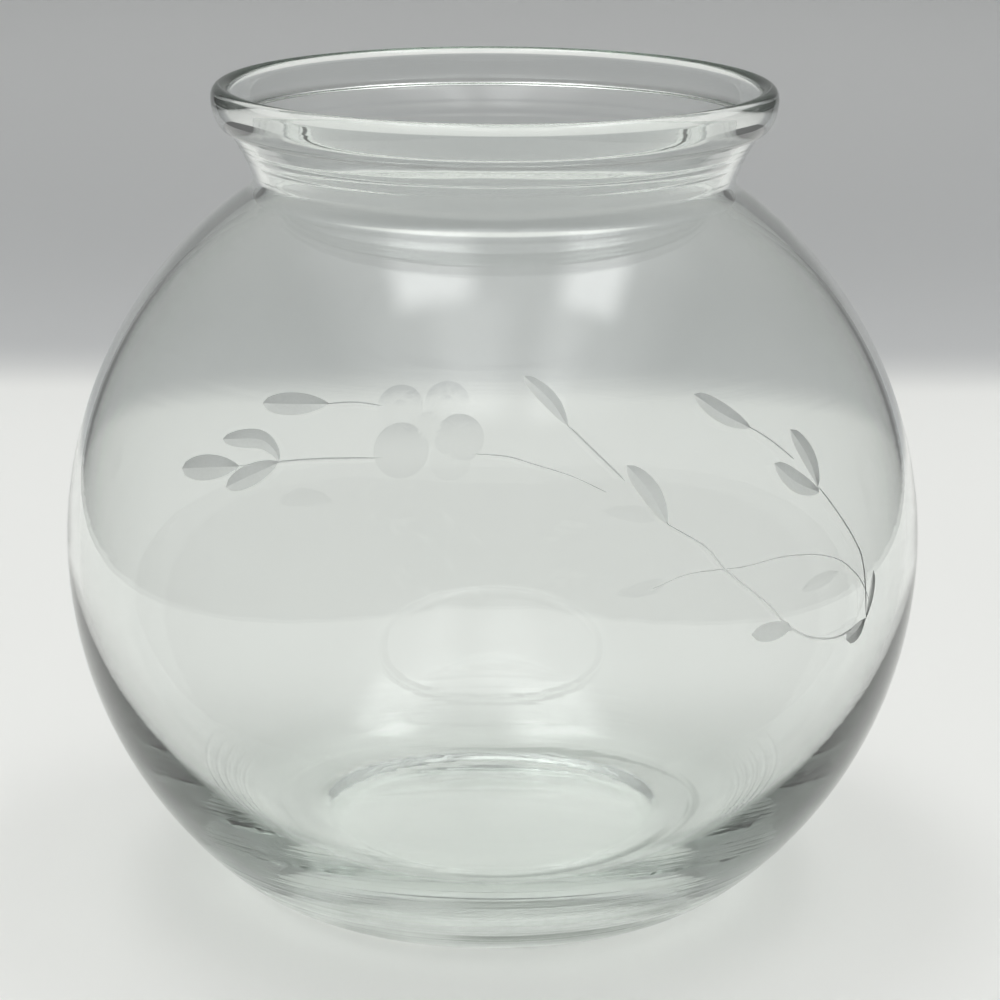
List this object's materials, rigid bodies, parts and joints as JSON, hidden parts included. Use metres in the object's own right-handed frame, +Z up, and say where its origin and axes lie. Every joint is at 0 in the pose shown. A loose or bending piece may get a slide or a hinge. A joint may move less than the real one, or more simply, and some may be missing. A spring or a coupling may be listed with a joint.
{
  "type": "glass bowl vase",
  "caption": "Round clear glass bowl vase with a short flared collar, a rounded rim and a thick flat base, for cut flowers in water.",
  "frame": {"origin": "centre of the resting ring, on the plane that the bowl stands on", "axes": "+Z up along the axis that the bowl is turned round, +Y away from the viewer of the picture, +X to the viewer's right"},
  "size_m": [0.14, 0.14, 0.1334],
  "materials": {
    "clear_glass": "clear and fire-polished, with matt wheel-cut sprigs on the outside of the body"
  },
  "bodies": {
    "root": {"glass_bowl": "clear_glass"}
  },
  "joints": []
}
